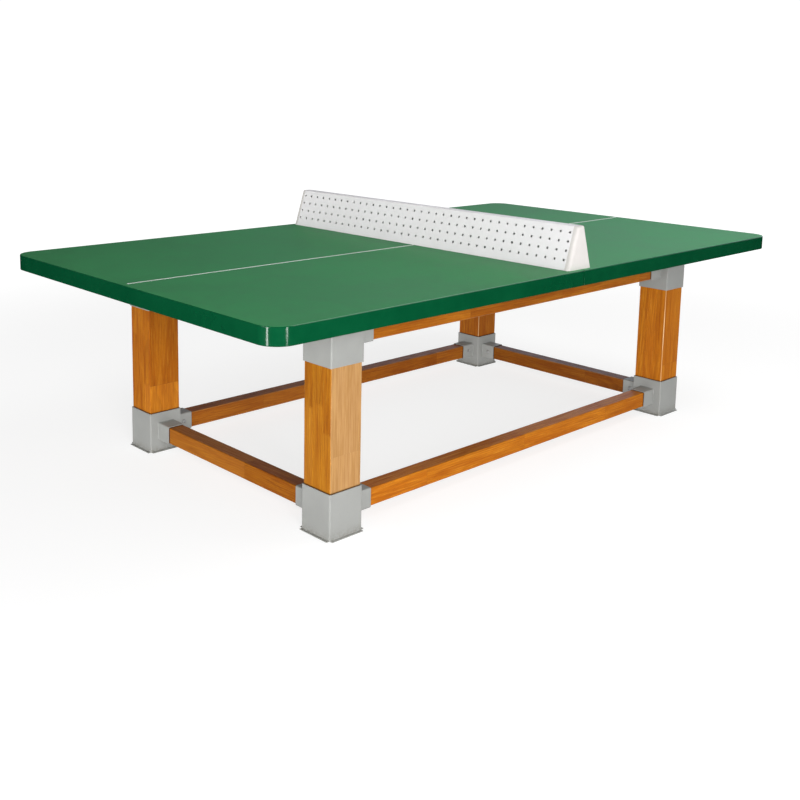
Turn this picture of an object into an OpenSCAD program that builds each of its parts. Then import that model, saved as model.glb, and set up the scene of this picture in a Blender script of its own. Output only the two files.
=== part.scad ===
// Outdoor table tennis table: a two-part moulded top, a fixed perforated steel net,
// timber posts in steel shoes and caps, and timber rails held in the brackets' sleeves.
// Millimetres. Z = 0 is the ground, X runs along the table, Y runs across it under the net.
// Front is -Y, left is -X.

/* [Top] */
// Length of the playing surface
top_len = 2740; // [2600:10:2900]
// Width of the playing surface
top_w = 1525; // [1450:5:1600]
// Height of the playing surface above the ground
top_h = 760; // [740:1:780]
// Height of the moulded rim
rim_h = 55; // [45:1:70]
// Thickness of the rim wall and of the flanges at the seam
rim_t = 14; // [10:1:20]
// Thickness of the moulded skin
skin_t = 12; // [8:1:18]
// Radius of the top's corners seen from above
corner_r = 70; // [40:1:100]
// Rounding between the playing surface and the rim
rim_r = 3; // [2:1:8]
// Thickness of the ribs under the skin
rib_t = 8; // [6:1:12]
// Pockets between the ribs, along each half
pockets_x = 5; // [5:1:7]
// Pockets between the ribs, across each half
pockets_y = 6; // [6:2:8]
// Gap between the two halves
seam_gap = 1; // [0.5:0.1:2]
// Width of the white centre line
line_w = 7; // [3:0.5:8]
// Distance from the end of the centre line to the end of the table
line_end = 22; // [10:1:60]

/* [Net] */
// Height of the net above the playing surface
net_h = 152.5; // [150:0.5:155]
// Length of the net, across the table
net_len = 1488; // [1440:1:1500]
// Width of the net at its base
net_base_w = 134; // [90:1:150]
// Width of the net at its ridge
net_ridge_w = 38; // [14:1:50]
// Thickness of the net's sheet steel
net_t = 2; // [1.5:0.5:3]
// Outside radius of the folds along the ridge
net_fold_r = 6; // [4:0.5:8]
// Diameter of the holes in the net
net_hole_d = 9; // [6:0.5:12]
// Holes in each row
net_hole_cols = 37; // [31:2:37]
// Rows of holes on each side
net_hole_rows = 4; // [2:1:4]
// Distance between holes along a row
net_hole_pitch = 39.6; // [36:0.2:39.6]
// Distance between rows, measured down the slope
net_row_pitch = 33; // [28:1:34]
// Distance from the ridge to the first row, measured down the slope
net_first_row = 24; // [20:1:30]

/* [Posts and rails] */
// Side of the square timber posts
post_s = 126; // [110:1:130]
// Side of the square timber rails
rail_s = 60; // [50:1:62]
// Distance from the table's centre to the post centres, along X
post_x = 937.5; // [850:0.5:1000]
// Distance from the table's centre to the post centres, along Y
post_y = 510; // [450:0.5:540]
// Rounding of the timber edges
arris_r = 3; // [1:0.5:5]

/* [Brackets] */
// Outside size of the brackets' square box
box_s = 135; // [133:1:150]
// Height of a shoe
shoe_h = 150; // [140:1:180]
// Height of a cap
cap_h = 158; // [140:1:180]
// Wall of the box and of the sleeves
wall_t = 3; // [3:0.5:4]
// Outside radius of the folded corners
fold_r = 5; // [4:0.5:6]
// Outside size of the rail sleeves
sleeve_s = 68; // [66:1:72]
// Length of the rail sleeves
sleeve_len = 70; // [60:1:80]
// Height from the ground to the bottom of a shoe's sleeve
sleeve_z = 44; // [30:1:60]
// Width of the turned-out lips at the foot of a shoe
lip_w = 10; // [6:1:14]
// Height of the base plate inside a shoe
base_plate_z = 12; // [10:1:20]
// Thickness of the base plates and flange plates
plate_t = 5; // [4:0.5:8]
// Side of the flange plate that carries the top
flange_s = 205; // [195:1:220]

/* [Fixings] */
// Radius of the rail screws' shanks
rail_screw_r = 4.5; // [4:0.5:5]
// Radius of the post screws' shanks
post_screw_r = 5; // [4:0.5:6]
// Radius of the bolts that hold the top, and of the seam bolts
bolt_r = 5; // [4:0.5:6]
// Radius of the studs that hold the net
stud_r = 4; // [3:0.5:5]
// Clearance around every shank that passes through a plate
clearance = 0.5; // [0.3:0.1:1]

/* [Hidden] */
$fn = 64;
CORNERS = [
    ["front_left", -1, -1],
    ["front_right", 1, -1],
    ["rear_left", -1, 1],
    ["rear_right", 1, 1],
];
SIDES = [["left", -1], ["right", 1]];
ENDS = [["front", -1], ["rear", 1]];

// Colours
top_green = [0.10, 0.36, 0.22];
line_white = [0.95, 0.96, 0.95];
net_white = [0.90, 0.90, 0.90];
timber = [0.72, 0.44, 0.18];
bracket_grey = [0.66, 0.67, 0.65];
steel = [0.60, 0.60, 0.62];
brass = [0.75, 0.62, 0.30];

// Overlap of shapes that are joined or cut
eps = 0.01;
over = 1;

// Top
rim_z = top_h - rim_h;
skin_z = top_h - skin_t;
half_len = top_len / 2 - seam_gap / 2;
pocket_lx = (half_len - 2 * rim_t - (pockets_x - 1) * rib_t) / pockets_x;
pocket_ly = (top_w - 2 * rim_t - (pockets_y - 1) * rib_t) / pockets_y;
pocket_r = 12;
line_t = 1.4;
line_proud = 0.3;
line_start = 2;
line_len = half_len - line_start - line_end;

// Solid pads above the caps fill this column of pockets across
pad_col = 3;
pad_w = flange_s + 15;

// Seam bolts stand in the middle of the pockets, halfway up the flanges
seam_bolt_z = rim_z + (rim_h - skin_t) / 2;
seam_bolt_y = [for (k = [0:pockets_y - 1]) (k - (pockets_y - 1) / 2) * (pocket_ly + rib_t)];
seam_grip = 2 * rim_t + seam_gap;

// Net
net_z = top_h;
lean = atan((net_base_w - net_ridge_w) / 2 / net_h);
fold_cz = net_h - net_fold_r;
fold_cx = net_ridge_w / 2 - net_fold_r * (1 - sin(lean)) / cos(lean);
net_flange_w = 26;
net_end_d = 20;
net_panel_len = net_len - 2 * net_end_d;
stud_x = net_base_w / 2 - 14;
stud_y = [-565, -190, 190, 565];
stud_end = 6;
clamp_len = 2 * stud_x + 40;
clamp_w = 60;
clamp_r = 6;
clamp_z = rim_z - plate_t;

// Brackets
box_in = box_s - 2 * wall_t;
sleeve_in = sleeve_s - 2 * wall_t;
lip_relief = 3.5;
flange_r = 12;
drain_r = 8;
cap_z = rim_z - cap_h;
sleeve_up_z = rim_z - sleeve_z - sleeve_s;
flange_bolt_xy = flange_s / 2 - 16;
post_z = base_plate_z + plate_t;
post_len = rim_z - plate_t - post_z;
post_screw_dx = 32;
post_screw_len = 90;

// Rails stop short of the box wall inside each sleeve
rail_gap = 4;
rail_len_x = 2 * (post_x - box_s / 2 - rail_gap);
rail_len_y = 2 * (post_y - box_s / 2 - rail_gap);
rail_lower_z = sleeve_z + sleeve_s / 2;
rail_upper_z = sleeve_up_z + sleeve_s / 2;
rail_screw_len = 46;
rail_screw_inset = box_s / 2 + sleeve_len / 2;

// Fixings
washer_t = 2;
hex_h = 6.4;
nut_h = 8;
thread_end = 4;
insert_len = 30;
insert_r = 9;
insert_floor = 4;
top_bolt_len = 25;

// Sizes of heads, nuts and washers for each millimetre of the shank's radius
hex_flats = 3.4;
nut_flats = 3.25;
washer_out = 2.05;
button_r = 2;
button_h = 1.15;
socket_r = 0.62;
socket_depth = 0.65;

// ---------- shared shapes ----------

// Rectangle centred on the origin with arc corners
module round_rect(w, h, r) {
    square([w - 2 * r, h], center = true);
    square([w, h - 2 * r], center = true);
    for (x = [-1, 1], y = [-1, 1])
        translate([x * (w / 2 - r), y * (h / 2 - r)]) circle(r);
}

module square_tube(outer, inner, length, outer_r) {
    linear_extrude(length) difference() {
        round_rect(outer, outer, outer_r);
        round_rect(inner, inner, outer_r - wall_t + 0.5);
    }
}

module washer(outer_r, inner_r, t) {
    difference() {
        cylinder(r = outer_r, h = t);
        translate([0, 0, -eps]) cylinder(r = inner_r, h = t + 2 * eps);
    }
}

// Hexagon head or nut blank, standing on Z = 0
module hexagon(across_flats, h) {
    cylinder(r = across_flats / sqrt(3), h = h, $fn = 6);
}

module nut(across_flats, hole_r, h) {
    difference() {
        hexagon(across_flats, h);
        translate([0, 0, -eps]) cylinder(r = hole_r, h = h + 2 * eps);
    }
}

// Hexagon bolt, head below Z = 0 and shank up from it
module hex_bolt(r, length) {
    translate([0, 0, -hex_h]) hexagon(hex_flats * r, hex_h);
    translate([0, 0, -eps]) cylinder(r = r, h = length);
}

// Button head screw with a hexagon socket, head below Z = 0 and shank up from it
module button_screw(r, length) {
    head_r = button_r * r;
    head_h = button_h * r;
    crown_r = (head_r * head_r + head_h * head_h) / (2 * head_h);
    difference() {
        union() {
            intersection() {
                translate([0, 0, crown_r - head_h]) sphere(crown_r);
                translate([0, 0, -head_h]) cylinder(r = head_r, h = head_h);
            }
            translate([0, 0, -eps]) cylinder(r = r, h = length);
        }
        translate([0, 0, -head_h - eps]) cylinder(r = socket_r * r, h = socket_depth * head_h, $fn = 6);
    }
}

// Countersunk wood screw, flat face at Z = 0 and shank down from it
module countersunk_screw(r, length) {
    translate([0, 0, -r]) cylinder(r1 = r, r2 = 2 * r, h = r);
    translate([0, 0, -length]) cylinder(r = r, h = length);
}

module at_corners() {
    for (c = CORNERS) translate([c[1] * post_x, c[2] * post_y, 0]) children();
}

// ---------- top ----------

// Profile of the rim: a quarter round between the side and the playing surface
module rim_profile(depth) {
    translate([0, rim_z]) square([depth, rim_h - rim_r]);
    translate([0, top_h - rim_r - eps]) square([depth - rim_r, rim_r + eps]);
    translate([depth - rim_r, top_h - rim_r]) circle(rim_r);
}

// The half from the seam (X = 0) to the end, before its underside is hollowed
module half_slab() {
    run_x = half_len - corner_r;
    run_y = top_w / 2 - corner_r;
    translate([0, -run_y, rim_z]) cube([run_x, 2 * run_y, rim_h]);
    for (y = [-1, 1]) {
        translate([0, y * run_y, 0])
            rotate([90, 0, 90])
                linear_extrude(run_x)
                    facing(y) rim_profile(corner_r);
        translate([run_x, y * run_y, 0])
            rotate([0, 0, y > 0 ? 0 : -90])
                rotate_extrude(angle = 90, $fn = 128)
                    rim_profile(corner_r);
    }
    translate([run_x, run_y, 0])
        rotate([90, 0, 0])
            linear_extrude(2 * run_y)
                rim_profile(corner_r);
}

// Turns a flat shape drawn towards +X to the given side
module facing(side) {
    if (side > 0) children();
    else mirror([1, 0]) children();
}

// Limit of the hollows: it keeps the rim's wall all the way round the table's corners
module hollow_limit() {
    inset = rim_t - over;
    translate([0, 0, rim_z - 2 * over])
        linear_extrude(rim_h)
            round_rect(2 * (half_len - inset), top_w - 2 * inset, corner_r - inset);
}

// Hollows between the ribs; those beside the posts end at the solid pads above the caps
module half_pockets() {
    pad_low = post_y - pad_w / 2;
    pad_high = post_y + pad_w / 2;
    for (side = [-1, 1], col = [0:pockets_x - 1], row = [0:pockets_y / 2 - 1]) {
        low = rib_t / 2 + row * (pocket_ly + rib_t);
        high = low + pocket_ly;
        from = col == pad_col && high > pad_high ? max(low, pad_high) : low;
        to = col == pad_col && low < pad_low ? min(high, pad_low) : high;
        x = rim_t + pocket_lx / 2 + col * (pocket_lx + rib_t);
        translate([x, side * (from + to) / 2, rim_z - over])
            linear_extrude(rim_h - skin_t + over)
                round_rect(pocket_lx, to - from, pocket_r);
    }
}

// Holes for the inserts, the seam bolts and the net's studs
module half_holes() {
    for (y = [-1, 1])
        translate([post_x - seam_gap / 2, y * post_y, rim_z - over])
            for (u = [-1, 1], v = [-1, 1])
                translate([u * flange_bolt_xy, v * flange_bolt_xy, 0])
                    cylinder(r = insert_r, h = insert_len + over);
    for (y = seam_bolt_y)
        translate([-over, y, seam_bolt_z]) rotate([0, 90, 0])
            cylinder(r = bolt_r + clearance, h = rim_t + 2 * over);
    for (y = stud_y)
        translate([stud_x - seam_gap / 2, y, skin_z - over])
            cylinder(r = stud_r + clearance, h = skin_t + 2 * over);
}

// Strip of the centre line, from just beside the seam to near the table's end
module line_strip() {
    translate([line_start, -line_w / 2, top_h - line_t + line_proud]) cube([line_len, line_w, line_t]);
}

// Places a half built from X = 0 on its own side of the seam; the left is the right's mirror image
module place_half(side) {
    mirror([side > 0 ? 0 : 1, 0, 0]) translate([seam_gap / 2, 0, 0]) children();
}

module top_half(side) {
    color(top_green) place_half(side) difference() {
        half_slab();
        intersection() {
            half_pockets();
            hollow_limit();
        }
        half_holes();
        line_strip();
    }
}

module centre_line(side) {
    color(line_white) place_half(side) line_strip();
}

// ---------- net ----------

// Outline of the net's cross-section at a given fold radius; a smaller radius is an inner skin
module net_outline(r) {
    base_x = fold_cx + (r + fold_cz * sin(lean)) / cos(lean);
    tangent = [fold_cx + r * cos(lean), fold_cz + r * sin(lean)];
    polygon([
        [base_x, 0],
        tangent,
        [fold_cx, fold_cz],
        [-fold_cx, fold_cz],
        [-tangent[0], tangent[1]],
        [-base_x, 0],
    ]);
    for (x = [-1, 1]) translate([x * fold_cx, fold_cz]) circle(r);
    translate([-fold_cx, fold_cz]) square([2 * fold_cx, r]);
}

module along_y(length) {
    translate([0, length / 2, net_z]) rotate([90, 0, 0]) linear_extrude(length) children();
}

module net_holes() {
    half_ridge = net_ridge_w / 2;
    for (side = [-1, 1], row = [0:net_hole_rows - 1], col = [0:net_hole_cols - 1]) {
        down = net_first_row + row * net_row_pitch;
        y = (col - (net_hole_cols - 1) / 2) * net_hole_pitch;
        translate([
            side * (half_ridge + down * sin(lean)),
            y,
            net_z + net_h - down * cos(lean)
        ])
            rotate([0, side * (90 - lean), 0])
                translate([0, 0, -3 * net_t])
                    cylinder(d = net_hole_d, h = 6 * net_t, $fn = 32);
    }
}

module net_panel() {
    base_in = fold_cx + (net_fold_r - net_t + fold_cz * sin(lean)) / cos(lean);
    color(net_white) difference() {
        union() {
            along_y(net_panel_len) difference() {
                net_outline(net_fold_r);
                translate([0, -eps]) net_outline(net_fold_r - net_t);
            }
            for (side = [-1, 1])
                along_y(net_panel_len)
                    translate([side * (base_in - net_flange_w / 2), net_t / 2])
                        square([net_flange_w, net_t], center = true);
        }
        net_holes();
    }
}

// End cheek: carries the net's section on and closes it
module net_end(side) {
    color(net_white)
        translate([0, side * net_panel_len / 2, net_z])
            mirror([0, side > 0 ? 1 : 0, 0])
                rotate([90, 0, 0])
                    difference() {
                        linear_extrude(net_end_d) net_outline(net_fold_r);
                        translate([0, -eps, -eps])
                            linear_extrude(net_end_d - net_t + eps) net_outline(net_fold_r - net_t);
                    }
}

module at_studs() {
    for (x = [-1, 1], y = stud_y) translate([x * stud_x, y, 0]) children();
}

module net_studs() {
    bottom = clamp_z - washer_t - nut_h - stud_end;
    color(steel) at_studs() translate([0, 0, bottom]) cylinder(r = stud_r, h = net_z - bottom);
}

module net_clamp_plates() {
    color(bracket_grey) difference() {
        for (y = stud_y)
            translate([0, y, clamp_z]) linear_extrude(plate_t) round_rect(clamp_len, clamp_w, clamp_r);
        at_studs() translate([0, 0, clamp_z - over])
            cylinder(r = stud_r + clearance, h = plate_t + 2 * over);
    }
}

module net_washers() {
    color(steel) at_studs() translate([0, 0, clamp_z - washer_t])
        washer(washer_out * stud_r, stud_r + clearance, washer_t);
}

module net_nuts() {
    color(steel) at_studs() translate([0, 0, clamp_z - washer_t - nut_h])
        nut(nut_flats * stud_r, stud_r, nut_h);
}

// ---------- posts and rails ----------

module post(sx, sy) {
    color(timber) translate([sx * post_x, sy * post_y, 0]) difference() {
        translate([0, 0, post_z]) linear_extrude(post_len) round_rect(post_s, post_s, arris_r);
        for (x = [-1, 1]) {
            translate([x * post_screw_dx, 0, post_z - over])
                cylinder(r = post_screw_r, h = post_screw_len - plate_t + over);
            translate([x * post_screw_dx, 0, post_z + post_len - post_screw_len + plate_t])
                cylinder(r = post_screw_r, h = post_screw_len);
        }
    }
}

module timber_bar(length) {
    translate([0, 0, -length / 2]) linear_extrude(length) round_rect(rail_s, rail_s, arris_r);
}

// Rail along the front or rear of the table
module rail_x(side, z) {
    color(timber) difference() {
        translate([0, side * post_y, z]) rotate([0, 90, 0]) timber_bar(rail_len_x);
        rail_screw_places_x(z) cylinder(r = rail_screw_r, h = rail_screw_len + over);
    }
}

// Rail along the left or right end of the table
module rail_y(side, z) {
    color(timber) difference() {
        translate([side * post_x, 0, z]) rotate([90, 0, 0]) timber_bar(rail_len_y);
        rail_screw_places_y(z) cylinder(r = rail_screw_r, h = rail_screw_len + over);
    }
}

// Frames on the sleeves' inner side faces, Z axis pointing into the rail
module rail_screw_places_x(z) {
    for (c = CORNERS)
        translate([c[1] * (post_x - rail_screw_inset), c[2] * (post_y - sleeve_s / 2), z])
            rotate([-c[2] * 90, 0, 0])
                children();
}

module rail_screw_places_y(z) {
    for (c = CORNERS)
        translate([c[1] * (post_x - sleeve_s / 2), c[2] * (post_y - rail_screw_inset), z])
            rotate([0, c[1] * 90, 0])
                children();
}

module rail_screws(z) {
    color(steel) {
        rail_screw_places_x(z) button_screw(rail_screw_r, rail_screw_len);
        rail_screw_places_y(z) button_screw(rail_screw_r, rail_screw_len);
    }
}

// ---------- brackets ----------

// Sleeve that runs from the box wall along +X, open at its mouth
module sleeve(z) {
    translate([box_s / 2 - over, 0, z + sleeve_s / 2])
        rotate([0, 90, 0])
            square_tube(sleeve_s, sleeve_in, sleeve_len + over, fold_r);
}

// Hole through one side face of that sleeve
module sleeve_hole(z, side) {
    translate([rail_screw_inset, side * (sleeve_s / 2 - wall_t - over), z + sleeve_s / 2])
        rotate([-side * 90, 0, 0])
            cylinder(r = rail_screw_r + clearance, h = wall_t + 2 * over);
}

// Box with one sleeve towards +X and one towards +Y; both screws face the table's middle
module bracket_body(z, height, sleeve_bottom) {
    difference() {
        union() {
            translate([0, 0, z]) square_tube(box_s, box_in, height, fold_r);
            sleeve(sleeve_bottom);
            rotate([0, 0, 90]) sleeve(sleeve_bottom);
        }
        sleeve_hole(sleeve_bottom, 1);
        rotate([0, 0, 90]) sleeve_hole(sleeve_bottom, -1);
    }
}

module post_screw_holes(z) {
    for (x = [-1, 1])
        translate([x * post_screw_dx, 0, z - over])
            cylinder(r = post_screw_r + clearance, h = plate_t + 2 * over);
}

// Turns a bracket built at (-X, -Y), with its sleeves towards the middle, into any corner
module place_bracket(sx, sy) {
    translate([sx * post_x, sy * post_y, 0])
        mirror([sx > 0 ? 1 : 0, 0, 0])
            mirror([0, sy > 0 ? 1 : 0, 0])
                children();
}

module foot_lips() {
    lip_len = box_s - 2 * lip_relief;
    for (a = [0:90:270])
        rotate([0, 0, a])
            translate([box_s / 2 - wall_t, -lip_len / 2, 0])
                cube([lip_w + wall_t, lip_len, wall_t]);
}

module shoe(sx, sy) {
    color(bracket_grey) place_bracket(sx, sy) {
        bracket_body(0, shoe_h, sleeve_z);
        foot_lips();
        difference() {
            translate([0, 0, base_plate_z])
                linear_extrude(plate_t)
                    square(box_in + over, center = true);
            post_screw_holes(base_plate_z);
            translate([0, 0, base_plate_z - over]) cylinder(r = drain_r, h = plate_t + 2 * over);
        }
    }
}

module cap(sx, sy) {
    color(bracket_grey) place_bracket(sx, sy) {
        bracket_body(cap_z, cap_h, sleeve_up_z);
        difference() {
            translate([0, 0, rim_z - plate_t]) linear_extrude(plate_t)
                round_rect(flange_s, flange_s, flange_r);
            for (x = [-1, 1], y = [-1, 1])
                translate([x * flange_bolt_xy, y * flange_bolt_xy, rim_z - plate_t - over])
                    cylinder(r = bolt_r + clearance, h = plate_t + 2 * over);
            for (x = [-1, 1])
                translate([x * post_screw_dx, 0, rim_z]) countersunk_screw(post_screw_r, 2 * plate_t);
        }
    }
}

// ---------- fixings ----------

module post_screws_lower() {
    color(steel) at_corners() for (x = [-1, 1])
        translate([x * post_screw_dx, 0, base_plate_z]) hex_bolt(post_screw_r, post_screw_len);
}

module post_screws_upper() {
    color(steel) at_corners() for (x = [-1, 1])
        translate([x * post_screw_dx, 0, rim_z]) countersunk_screw(post_screw_r, post_screw_len);
}

module at_flange_bolts() {
    at_corners() for (x = [-1, 1], y = [-1, 1])
        translate([x * flange_bolt_xy, y * flange_bolt_xy, 0]) children();
}

module top_bolts() {
    color(steel) at_flange_bolts() translate([0, 0, rim_z - plate_t - washer_t])
        hex_bolt(bolt_r, top_bolt_len);
}

module top_washers() {
    color(steel) at_flange_bolts() translate([0, 0, rim_z - plate_t - washer_t])
        washer(washer_out * bolt_r, bolt_r + clearance, washer_t);
}

module top_inserts() {
    color(brass) at_flange_bolts() translate([0, 0, rim_z]) difference() {
        cylinder(r = insert_r, h = insert_len);
        translate([0, 0, -over]) cylinder(r = bolt_r, h = insert_len - insert_floor + over);
    }
}

// Frames at the seam bolts, Z axis along +X, origin on the left flange's inner face
module at_seam_bolts() {
    for (y = seam_bolt_y)
        translate([-seam_grip / 2, y, seam_bolt_z]) rotate([0, 90, 0]) children();
}

module seam_bolts() {
    color(steel) at_seam_bolts() translate([0, 0, -washer_t])
        hex_bolt(bolt_r, seam_grip + 2 * washer_t + nut_h + thread_end);
}

module seam_washers() {
    color(steel) at_seam_bolts() for (z = [-washer_t, seam_grip])
        translate([0, 0, z]) washer(washer_out * bolt_r, bolt_r + clearance, washer_t);
}

module seam_nuts() {
    color(steel) at_seam_bolts() translate([0, 0, seam_grip + washer_t])
        nut(hex_flats * bolt_r, bolt_r, nut_h);
}

// ---------- nodes ----------

for (s = SIDES) {
    top_half(s[1]);
    centre_line(s[1]);
    rail_y(s[1], rail_lower_z);
    rail_y(s[1], rail_upper_z);
}
for (e = ENDS) {
    net_end(e[1]);
    rail_x(e[1], rail_lower_z);
    rail_x(e[1], rail_upper_z);
}
for (c = CORNERS) {
    post(c[1], c[2]);
    shoe(c[1], c[2]);
    cap(c[1], c[2]);
}
net_panel();
net_studs();
net_clamp_plates();
net_washers();
net_nuts();
rail_screws(rail_lower_z);  // rail_screws_lower
rail_screws(rail_upper_z);  // rail_screws_upper
post_screws_lower();
post_screws_upper();
top_bolts();
top_washers();
top_inserts();
seam_bolts();
seam_washers();
seam_nuts();
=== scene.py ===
import math
from collections import namedtuple

import bmesh
import bpy
from mathutils import Matrix, Vector, noise


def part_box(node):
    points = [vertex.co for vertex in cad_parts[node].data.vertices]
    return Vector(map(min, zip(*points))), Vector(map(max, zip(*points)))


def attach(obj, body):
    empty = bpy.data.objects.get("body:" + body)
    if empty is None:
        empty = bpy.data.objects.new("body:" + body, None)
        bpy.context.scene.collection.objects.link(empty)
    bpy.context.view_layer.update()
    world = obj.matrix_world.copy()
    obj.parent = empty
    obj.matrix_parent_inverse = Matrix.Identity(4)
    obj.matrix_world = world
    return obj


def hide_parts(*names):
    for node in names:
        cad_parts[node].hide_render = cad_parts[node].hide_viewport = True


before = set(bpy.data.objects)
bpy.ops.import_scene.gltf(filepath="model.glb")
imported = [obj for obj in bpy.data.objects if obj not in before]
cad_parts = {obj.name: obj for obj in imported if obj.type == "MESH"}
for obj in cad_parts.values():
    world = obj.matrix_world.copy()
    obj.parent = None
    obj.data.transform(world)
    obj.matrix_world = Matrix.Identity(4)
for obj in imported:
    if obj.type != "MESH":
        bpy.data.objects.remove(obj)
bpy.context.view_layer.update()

# Looks of an outdoor table tennis table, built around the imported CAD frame.
# Shapes are worked out in millimetres in the row frame and scaled to metres when a piece is made.
# Front is -Y (the camera's side), left is -X.

MM = 0.001
BODY = "root"
X, Y, Z = 0, 1, 2
SIDES = (("left", -1), ("right", 1))
ENDS = (("front", -1), ("rear", 1))
CORNERS = tuple((f"{end}_{side}", sx, sy) for end, sy in ENDS for side, sx in SIDES)
QUADRANTS = ((1, 1, 0), (-1, 1, 90), (-1, -1, 180), (1, -1, 270))

# Top, as in the CAD
RIM_T = 14.0
SKIN_T = 12.0
RIB_T = 8.0
CORNER_R = 70.0
POCKETS_X = 5
POCKETS_Y = 6
POCKET_R = 12.0
HOLLOW_CORNER_R = 54.0
PAD_COLUMN = 3
PAD_WIDTH = 220.0

# Softened edges of the top, and how far each half stands back so that the seam shows
RIM_R = 3.0
FOOT_R = 2.0
SEAM_GAP = 0.8

# Net, as in the CAD
NET_BASE_W = 134.0
NET_RIDGE_W = 38.0
NET_T = 2.0
NET_FOLD_R = 6.0
NET_HOLE_R = 4.5
NET_COLS = 37
NET_ROWS = 4
NET_PITCH = 39.6
NET_ROW_PITCH = 33.0
NET_FIRST_ROW = 24.0
NET_FLANGE_W = 26.0

# Keeps the net's foot clear of the top
NET_LIFT = 0.02

# Timber: a rail is one piece, thinner than its lamella
ARRIS_R = 3.0
POST_LAMELLA = 42.0
RAIL_LAMELLA = 1000.0
SEED_STEP = 1.7

# Brackets, as in the CAD
BOX_S = 135.0
SHOE_H = 150.0
CAP_H = 158.0
WALL_T = 3.0
FOLD_R = 5.0
SLEEVE_S = 68.0
SLEEVE_L = 70.0
SHOE_SLEEVE_Z = 44.0
LIP_W = 10.0
LIP_RELIEF = 3.5
BASE_PLATE_Z = 12.0
PLATE_T = 5.0
FLANGE_S = 205.0
FLANGE_R = 12.0

# Fixings, as in the CAD
RAIL_SCREW_R = 4.5
BOLT_R = 5.0
BOLT_FLATS = 17.0
BOLT_HEAD_H = 6.4
STUD_R = 4.0
STUD_FLATS = 13.0
STUD_WASHER_R = 8.2
STUD_PLACES_Y = (-565.0, -190.0, 190.0, 565.0)
NUT_H = 8.0
WASHER_T = 2.0
WASHER_PLAY = 0.5
CLAMP_HALF_W = 30.0
CLAMP_R = 6.0
FLANGE_BOLT_INSET = 16.0
POST_SCREW_X = 32.0

# Points round a screw head or a nut
ROUND_STEPS = 48

# Looks of one piece of timber: brightness and green of its stain (the brightness partly its own tone, partly
# painted shade on pieces in the top's shade), how much painted sheen its front face has, and how much painted
# highlight its arrises have
Look = namedtuple("Look", "tint green bleach arris")
POST_LOOKS = {
    "front_left": Look(0.82, 1.12, 0.75, 0.10),
    "front_right": Look(1.08, 1.00, 0.00, 0.75),
    "rear_left": Look(0.97, 1.00, 0.00, 0.00),
    "rear_right": Look(0.84, 0.92, 0.00, 0.45),
}
# Rails under the top, most of all at the rear and right, are made darker: painted shade as well as their own
# tone
RAIL_LOOKS = {
    "lower_front": Look(1.05, 1.00, 0.00, 0.00),
    "lower_rear": Look(0.66, 0.90, 0.00, 0.10),
    "lower_left": Look(0.68, 0.96, 0.00, 0.00),
    "lower_right": Look(0.50, 0.90, 0.00, 0.15),
    "upper_front": Look(0.82, 0.98, 0.00, 0.10),
    "upper_rear": Look(0.66, 0.90, 0.00, 0.00),
    "upper_left": Look(0.68, 0.96, 0.00, 0.00),
    "upper_right": Look(0.50, 0.90, 0.00, 0.00),
}

# How bright the surround is, as light and as a reflection, with plain white at 1
WHITE = (1.0, 1.0, 1.0, 1.0)
LIGHT_BELOW = 1.13
LIGHT_ABOVE = 0.20
MIRROR_BELOW = 0.01
MIRROR_DARK_WALL = 0.06
MIRROR_LIT_WALL = 1.90
MIRROR_ABOVE = 0.12


# ---------- shader nodes

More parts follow.
